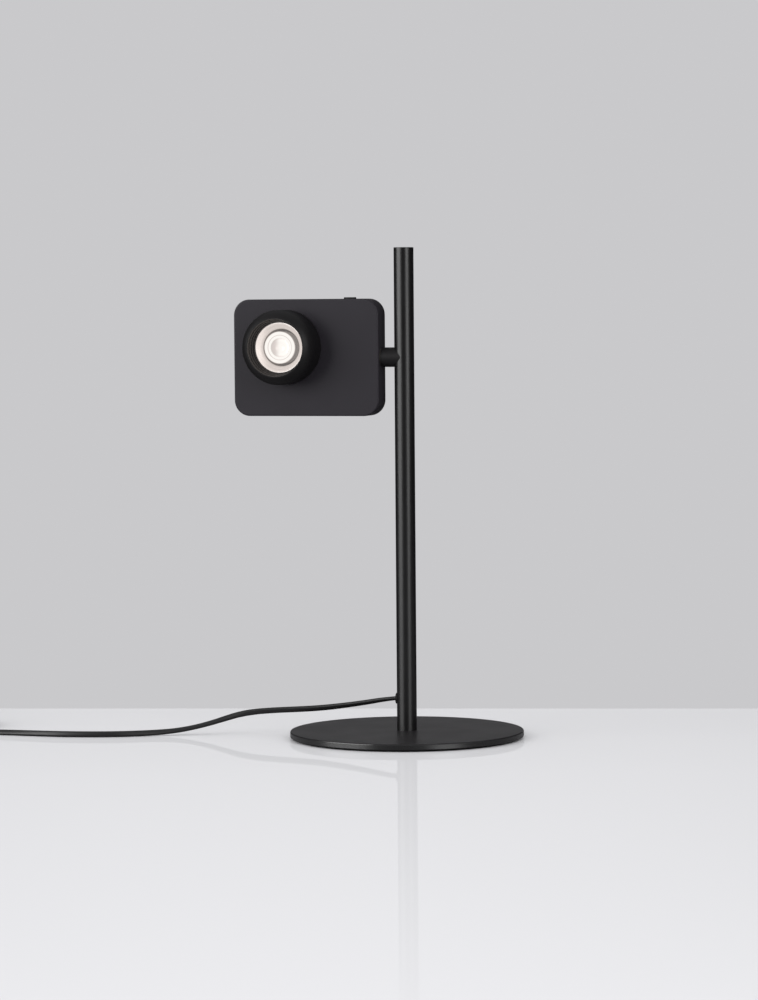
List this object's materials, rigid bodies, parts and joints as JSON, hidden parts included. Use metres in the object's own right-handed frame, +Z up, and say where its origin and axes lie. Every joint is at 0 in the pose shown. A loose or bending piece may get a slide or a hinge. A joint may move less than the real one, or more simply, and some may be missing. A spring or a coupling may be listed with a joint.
{
  "type": "led table lamp",
  "caption": "Black desk lamp with a round base, a slim post and a flat box head that tilts on a short side arm, with a round spot, a push button and a mains cord.",
  "frame": {"origin": "centre of the base's underside, on the table", "axes": "+Z up along the post, the spot faces -Y, the head stands on the -X side of the post"},
  "size_m": [0.5445, 0.189, 0.3957],
  "materials": {
    "black_steel": "satin black powder coat",
    "black_shell": "satin black lacquer",
    "foam": "matte foam",
    "zinc_steel": "zinc plated",
    "black_screw": "blackened steel",
    "black_rubber": "soft matte",
    "cord_jacket": "smooth vinyl",
    "fibre_washer": "pressed fibre",
    "silver_reflector": "vacuum metallised",
    "lens_cup": "grey, lit by the lens",
    "clear_lens": "moulded clear, lit from behind",
    "light_source": "phosphor under a clear dome",
    "white_board": "white solder mask",
    "bare_aluminium": "as extruded",
    "driver_case": "moulded",
    "switch_case": "moulded",
    "black_button": "fine texture",
    "wire_jacket": "smooth vinyl",
    "tie_band": "thin band",
    "plug_case": "moulded vinyl",
    "plug_metal": "nickel plated"
  },
  "bodies": {
    "stand": {"base_disc": "black_steel", "base_pad": "foam", "post_screw": "zinc_steel", "post_foot_plug": "zinc_steel", "post": "black_steel", "post_cap": "black_steel", "stub_arm": "black_steel", "cord_bushing": "black_rubber", "inner_cord": "cord_jacket", "swivel_nipple": "zinc_steel", "inner_washer": "zinc_steel", "spring_washer": "zinc_steel", "swivel_nut": "zinc_steel", "cord_free": "cord_jacket", "cord_coil": "cord_jacket", "cord_tie": "tie_band", "plug_body": "plug_case", "plug_pins": "plug_metal"},
    "head": {"head_shell": "black_shell", "back_cover": "black_shell", "cover_screws": "black_screw", "friction_washer": "fibre_washer", "stop_pin": "zinc_steel", "spot_barrel": "black_shell", "reflector": "silver_reflector", "lens_holder": "lens_cup", "lens": "clear_lens", "led_emitter": "light_source", "led_board": "white_board", "heat_sink": "bare_aluminium", "barrel_screws": "zinc_steel", "led_driver": "driver_case", "driver_screws": "zinc_steel", "switch_body": "switch_case", "head_wiring": "wire_jacket", "driver_lead": "wire_jacket", "led_leads": "wire_jacket"},
    "button": {"switch_button": "black_button"}
  },
  "joints": [
    {"name": "head_tilt", "type": "hinge", "parent": "stand", "child": "head", "pos_m": [-0.0188, 0, 0.3076], "axis": [1, 0, 0], "range_deg": [-160, 160]},
    {"name": "button_press", "type": "slide", "parent": "head", "child": "button", "axis": [0, 0, -1], "range_m": [0, 0.001], "stiffness_N_per_m": 1500}
  ]
}
